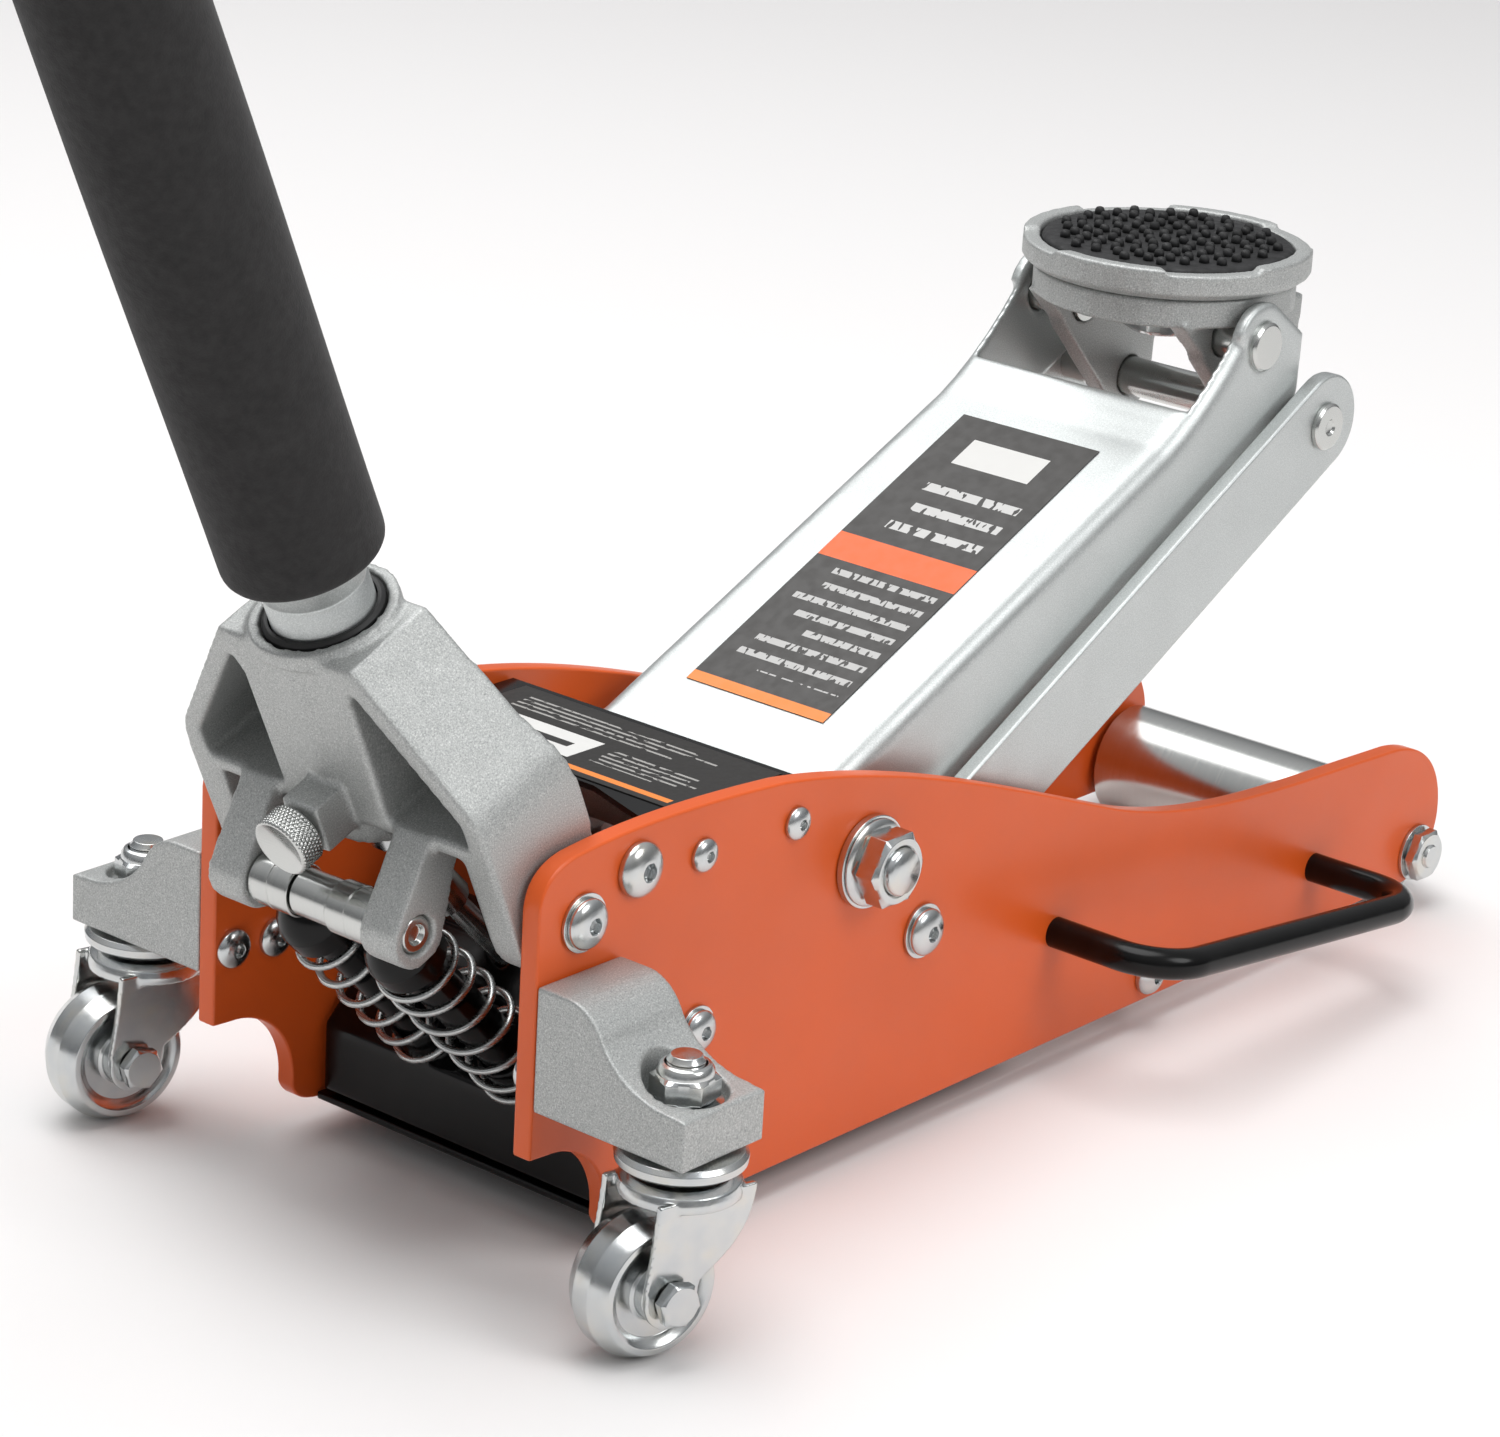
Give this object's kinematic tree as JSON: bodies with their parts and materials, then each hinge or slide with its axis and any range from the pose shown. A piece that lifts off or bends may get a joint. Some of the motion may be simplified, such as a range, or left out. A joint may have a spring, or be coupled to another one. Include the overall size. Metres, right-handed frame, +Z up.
{
  "type": "hydraulic floor jack",
  "caption": "Low trolley floor jack with side plates, front roller, swivel castors, parallelogram lift arm, round padded saddle and a padded pump handle.",
  "frame": {"origin": "on the floor below the middle of the whole jack's box", "axes": "+X from the pump handle's end towards the front roller and saddle, +Y to the left side, +Z up, opposite to the floor"},
  "size_m": [0.9112, 0.2702, 1.049],
  "materials": {
    "orange_paint": "glossy orange powder coat on the steel side plates, brighter on worn edges",
    "silver_paint": "satin silver coat on the lift arm, links and handle tubes",
    "cast_alloy": "fine speckled as-cast aluminium, semi-matt",
    "zinc": "zinc plated fasteners and turned steel pins, lightly brushed",
    "bright_steel": "polished steel on the front roller, pins and plungers' rods",
    "black_paint": "glossy black enamel on the hydraulic unit, carry handles and pan",
    "cover_finish": "dark grey printed cover with no lettering",
    "castor_wheel": "pressed steel castor wheels with a scuffed tread",
    "spring_steel": "plated spring wire",
    "foam": "closed-cell foam with a fine matt grain",
    "pad_rubber": "moulded rubber pad with small raised nubs",
    "black_plastic": "moulded black plastic"
  },
  "bodies": {
    "root": {"side_plate_left": "orange_paint", "side_plate_right": "orange_paint", "caster_block_left": "cast_alloy", "caster_block_right": "cast_alloy", "caster_stem_left": "zinc", "caster_stem_right": "zinc", "caster_nut_left": "zinc", "caster_nut_right": "zinc", "socket_bolt_left": "zinc", "socket_bolt_right": "zinc", "link_bolt_left": "zinc", "link_bolt_right": "zinc", "pump_bolt_left": "zinc", "pump_bolt_right": "zinc", "carry_handle_left": "black_paint", "carry_handle_right": "black_paint", "front_axle": "zinc", "stop_rod": "zinc", "front_tie_rod": "zinc", "arm_bolt": "zinc", "arm_nut": "zinc", "base_pan": "black_paint", "cover_plate": "cover_finish", "pump_body": "black_paint"},
    "castor_left": {"caster_fork_left": "zinc", "wheel_axle_left": "zinc"},
    "wheel_left": {"caster_wheel_left": "castor_wheel"},
    "castor_right": {"caster_fork_right": "zinc", "wheel_axle_right": "zinc"},
    "wheel_right": {"caster_wheel_right": "castor_wheel"},
    "front_wheel": {"front_roller": "bright_steel"},
    "socket": {"handle_socket": "cast_alloy", "roller_pin": "bright_steel", "seal_ring": "black_plastic"},
    "handle": {"handle_tube_lower": "silver_paint", "handle_tube_upper": "silver_paint", "foam_sleeve": "foam", "handle_grip": "black_plastic", "valve_coupler": "zinc"},
    "lock_screw": {"lock_screw": "zinc"},
    "pump_roller_left": {"pump_roller_left": "bright_steel"},
    "plunger_left": {"pump_plunger_left": "black_paint", "pump_spring_left": "spring_steel"},
    "pump_roller_right": {"pump_roller_right": "bright_steel"},
    "plunger_right": {"pump_plunger_right": "black_paint", "pump_spring_right": "spring_steel"},
    "valve": {"release_valve": "zinc"},
    "arm": {"lift_arm": "silver_paint", "arm_front_pin_left": "zinc", "arm_front_pin_right": "zinc", "ram_pin": "bright_steel"},
    "link_left": {"parallel_link_left": "silver_paint"},
    "link_right": {"parallel_link_right": "silver_paint"},
    "bracket": {"saddle_bracket": "cast_alloy", "link_pin": "zinc", "saddle_bolt": "zinc"},
    "saddle": {"saddle": "cast_alloy", "saddle_pad": "pad_rubber"},
    "ram": {"ram": "bright_steel"}
  },
  "joints": [
    {"name": "castor_swivel_left", "type": "hinge", "parent": "root", "child": "castor_left", "pos_m": [-0.02788, 0.1133, 0.04], "axis": [0, 0, 1], "continuous": true},
    {"name": "wheel_spin_left", "type": "hinge", "parent": "castor_left", "child": "wheel_left", "pos_m": [-0.03962, 0.11579, 0.0225], "axis": [0.2079, 0.9781, 0], "continuous": true},
    {"name": "castor_swivel_right", "type": "hinge", "parent": "root", "child": "castor_right", "pos_m": [-0.02788, -0.1133, 0.04], "axis": [0, 0, 1], "continuous": true},
    {"name": "wheel_spin_right", "type": "hinge", "parent": "castor_right", "child": "wheel_right", "pos_m": [-0.03962, -0.11081, 0.0225], "axis": [0.2079, 0.9781, 0], "continuous": true},
    {"name": "roller_spin", "type": "hinge", "parent": "root", "child": "front_wheel", "pos_m": [0.43412, 0, 0.0215], "axis": [0, 1, 0], "continuous": true},
    {"name": "handle_pump", "type": "hinge", "parent": "root", "child": "socket", "pos_m": [-0.02718, 0, 0.1195], "axis": [0, -1, 0], "range_deg": [-15, 40]},
    {"name": "handle_twist", "type": "hinge", "parent": "socket", "child": "handle", "pos_m": [-0.02718, 0, 0.1195], "axis": [-0.4083, 0, 0.9128], "range_deg": [0, 150]},
    {"name": "lock_screw_turn", "type": "hinge", "parent": "socket", "child": "lock_screw", "pos_m": [-0.04229, 0, 0.15327], "axis": [0.9128, 0, 0.4083], "range_deg": [0, 360]},
    {"name": "pump_roller_spin_left", "type": "hinge", "parent": "socket", "child": "pump_roller_left", "pos_m": [-0.06251, 0.016, 0.1152], "axis": [0, 1, 0], "continuous": true},
    {"name": "plunger_slide_left", "type": "slide", "parent": "root", "child": "plunger_left", "axis": [0.7071, 0, -0.7071], "range_m": [-0.009, 0.022], "deforming": ["pump_spring_left"]},
    {"name": "pump_roller_spin_right", "type": "hinge", "parent": "socket", "child": "pump_roller_right", "pos_m": [-0.06251, -0.016, 0.1152], "axis": [0, 1, 0], "continuous": true},
    {"name": "plunger_slide_right", "type": "slide", "parent": "root", "child": "plunger_right", "axis": [0.7071, 0, -0.7071], "range_m": [-0.009, 0.022], "deforming": ["pump_spring_right"]},
    {"name": "valve_turn", "type": "hinge", "parent": "root", "child": "valve", "pos_m": [-0.02718, 0, 0.1195], "axis": [-0.7071, 0, 0.7071], "range_deg": [0, 150]},
    {"name": "lift", "type": "hinge", "parent": "root", "child": "arm", "pos_m": [0.10552, 0, 0.1042], "axis": [0, -1, 0], "range_deg": [-38, 30]},
    {"name": "link_swing_left", "type": "hinge", "parent": "root", "child": "link_left", "pos_m": [0.13612, 0.055, 0.0721], "axis": [0, -1, 0], "range_deg": [-38, 30]},
    {"name": "link_swing_right", "type": "hinge", "parent": "root", "child": "link_right", "pos_m": [0.13612, -0.055, 0.0721], "axis": [0, -1, 0], "range_deg": [-38, 30]},
    {"name": "saddle_level", "type": "hinge", "parent": "arm", "child": "bracket", "pos_m": [0.33413, 0, 0.22678], "axis": [0, -1, 0], "range_deg": [-30, 38]},
    {"name": "saddle_spin", "type": "hinge", "parent": "bracket", "child": "saddle", "pos_m": [0.34363, 0, 0.24308], "axis": [0, 0, 1], "continuous": true},
    {"name": "ram_slide", "type": "slide", "parent": "root", "child": "ram", "axis": [1, 0, 0], "range_m": [-0.019, 0.015]}
  ],
  "couplings": [
    {"joint": "plunger_slide_left", "follows": "handle_pump", "m_per_rad": 0.031},
    {"joint": "plunger_slide_right", "follows": "handle_pump", "m_per_rad": 0.031},
    {"joint": "valve_turn", "follows": "handle_twist", "ratio": 1},
    {"joint": "link_swing_left", "follows": "lift", "ratio": 1},
    {"joint": "link_swing_right", "follows": "lift", "ratio": 1},
    {"joint": "saddle_level", "follows": "lift", "ratio": -1},
    {"joint": "ram_slide", "follows": "lift", "m_per_rad": 0.0275}
  ]
}
